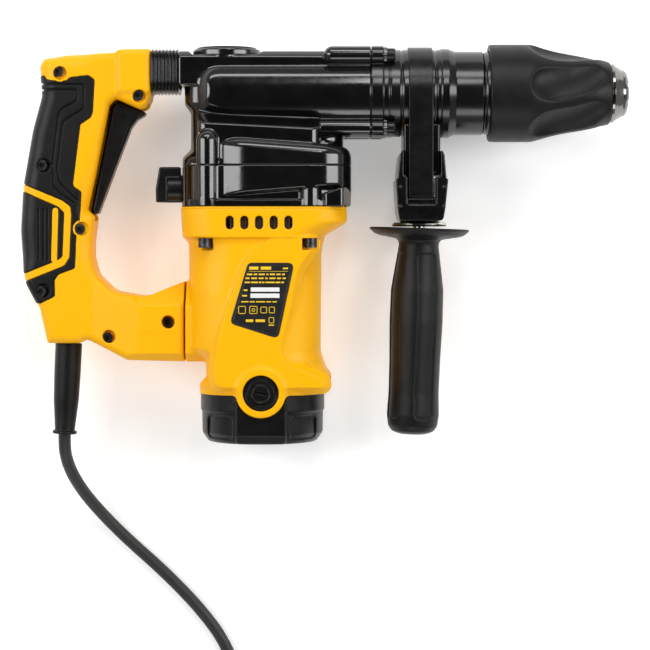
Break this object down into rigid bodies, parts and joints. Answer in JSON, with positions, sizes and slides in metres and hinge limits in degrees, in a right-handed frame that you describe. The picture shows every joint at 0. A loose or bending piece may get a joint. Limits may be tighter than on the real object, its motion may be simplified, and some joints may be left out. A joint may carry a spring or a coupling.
{
  "type": "rotary hammer",
  "caption": "Corded rotary hammer lying on its side: upright motor, D-shaped rear handle with trigger and bellows, mode knob, swivelling side handle, quick-change chuck.",
  "frame": {"origin": "centre of the tool bore's mouth, on the spindle axis", "axes": "+X forward out of the bore, +Y the tool's top when it is held upright, +Z its right side; it lies on its left flank"},
  "size_m": [0.3806, 0.5196, 0.0864],
  "materials": {
    "yellow_plastic": "smooth satin moulded plastic",
    "black_casting": "gloss black enamel",
    "black_gloss_plastic": "gloss",
    "black_plastic": "fine texture",
    "black_rubber": "matte with fine texture",
    "cable_rubber": "matte",
    "nose_metal": "dark chrome",
    "steel": "ground",
    "band_steel": "black coated",
    "spring_steel": "oiled",
    "screw_steel": "black oxide",
    "alloy": "machined",
    "lamination": "varnished",
    "copper": "enamelled wire",
    "carbon": "carbon",
    "nickel": "nickel plated",
    "label": "printed film"
  },
  "bodies": {
    "housing": {"motor_housing": "yellow_plastic", "end_cap": "black_plastic", "fan_housing": "black_casting", "gear_case": "black_casting", "gear_cover": "alloy", "barrel": "black_casting", "barrel_screws": "screw_steel", "housing_screws": "screw_steel", "grease_cap": "alloy", "brush_caps": "black_plastic", "brush_holders": "black_plastic", "carbon_brushes": "carbon", "stator_core": "lamination", "stator_windings": "copper", "shaft_bearings": "steel", "spindle_bearings": "steel", "oil_seal": "black_rubber", "label_plate": "label"},
    "handle": {"handle_shell_right": "yellow_plastic", "handle_shell_left": "yellow_plastic", "grip_rubber_right": "black_rubber", "grip_rubber_left": "black_rubber", "handle_screws": "screw_steel", "switch": "black_plastic", "cord_clamp": "black_plastic", "bellows": "black_rubber", "damper_spring": "spring_steel", "pivot_sleeve": "black_rubber", "cord_guard": "black_rubber", "cord": "cable_rubber", "cord_coil": "cable_rubber", "plug_body": "black_plastic", "plug_pins": "nickel"},
    "trigger": {"trigger": "black_plastic"},
    "knob": {"mode_knob": "black_plastic"},
    "rotor": {"rotor_shaft": "steel", "armature": "lamination", "commutator": "copper", "fan": "black_plastic"},
    "crank": {"crank_gear": "steel"},
    "layshaft": {"layshaft_gear": "steel", "bevel_pinion": "steel"},
    "spindle": {"spindle_tube": "steel", "tool_holder": "steel", "nose_cap": "nose_metal", "bevel_gear": "steel", "locking_balls": "steel", "sleeve_spring": "spring_steel"},
    "sleeve": {"chuck_sleeve": "black_rubber", "lock_ring": "steel"},
    "piston": {"piston": "steel"},
    "rod": {"connecting_rod": "steel"},
    "striker": {"striker": "steel"},
    "bolt": {"impact_bolt": "steel"},
    "side_handle": {"clamp_band": "band_steel", "clamp_saddle": "steel", "side_yoke": "black_gloss_plastic", "clamp_bolt": "steel", "grip_washer": "steel"},
    "side_grip": {"side_grip": "black_rubber"}
  },
  "joints": [
    {"name": "handle_swing", "type": "hinge", "parent": "housing", "child": "handle", "pos_m": [-0.2885, -0.144, 0], "axis": [0, 0, 1], "range_deg": [-1.2, 1.2], "stiffness_Nm_per_rad": 150, "deforming": ["bellows", "damper_spring"]},
    {"name": "trigger_pull", "type": "hinge", "parent": "handle", "child": "trigger", "pos_m": [-0.3353, -0.0735, 0], "axis": [0, 0, 1], "range_deg": [0, 6], "stiffness_Nm_per_rad": 2, "springref_deg": -5.73},
    {"name": "mode_turn", "type": "hinge", "parent": "housing", "child": "knob", "pos_m": [-0.285, -0.06, 0], "axis": [1, 0, 0], "range_deg": [-60, 60]},
    {"name": "rotor_spin", "type": "hinge", "parent": "housing", "child": "rotor", "pos_m": [-0.2295, -0.1, 0], "axis": [0, 1, 0], "continuous": true},
    {"name": "crank_spin", "type": "hinge", "parent": "housing", "child": "crank", "pos_m": [-0.2519, -0.04, 0], "axis": [0, 1, 0], "continuous": true},
    {"name": "layshaft_spin", "type": "hinge", "parent": "housing", "child": "layshaft", "pos_m": [-0.2039, -0.04, 0], "axis": [0, 1, 0], "continuous": true},
    {"name": "spindle_spin", "type": "hinge", "parent": "housing", "child": "spindle", "pos_m": [-0.1, 0, 0], "axis": [1, 0, 0], "continuous": true},
    {"name": "sleeve_slide", "type": "slide", "parent": "spindle", "child": "sleeve", "axis": [1, 0, 0], "range_m": [-0.008, 0], "stiffness_N_per_m": 1500, "springref_m": 0.006, "deforming": ["sleeve_spring"]},
    {"name": "piston_slide", "type": "slide", "parent": "housing", "child": "piston", "axis": [1, 0, 0], "range_m": [-0.022, 0]},
    {"name": "rod_swing", "type": "hinge", "parent": "piston", "child": "rod", "pos_m": [-0.1949, 0, 0], "axis": [0, 1, 0], "range_deg": [-13.5, 13.5]},
    {"name": "striker_slide", "type": "slide", "parent": "spindle", "child": "striker", "axis": [1, 0, 0], "range_m": [-0.012, 0.0095]},
    {"name": "bolt_slide", "type": "slide", "parent": "spindle", "child": "bolt", "axis": [1, 0, 0], "range_m": [-0.0035, 0]},
    {"name": "side_handle_swing", "type": "hinge", "parent": "housing", "child": "side_handle", "pos_m": [-0.1305, 0, 0], "axis": [1, 0, 0], "continuous": true},
    {"name": "side_grip_turn", "type": "hinge", "parent": "side_handle", "child": "side_grip", "pos_m": [-0.1304, -0.0838, 0], "axis": [-0.0332, -0.9995, 0], "continuous": true}
  ],
  "couplings": [
    {"joint": "crank_spin", "follows": "rotor_spin", "ratio": -0.27273},
    {"joint": "layshaft_spin", "follows": "rotor_spin", "ratio": -0.23077},
    {"joint": "spindle_spin", "follows": "rotor_spin", "ratio": -0.069231}
  ]
}
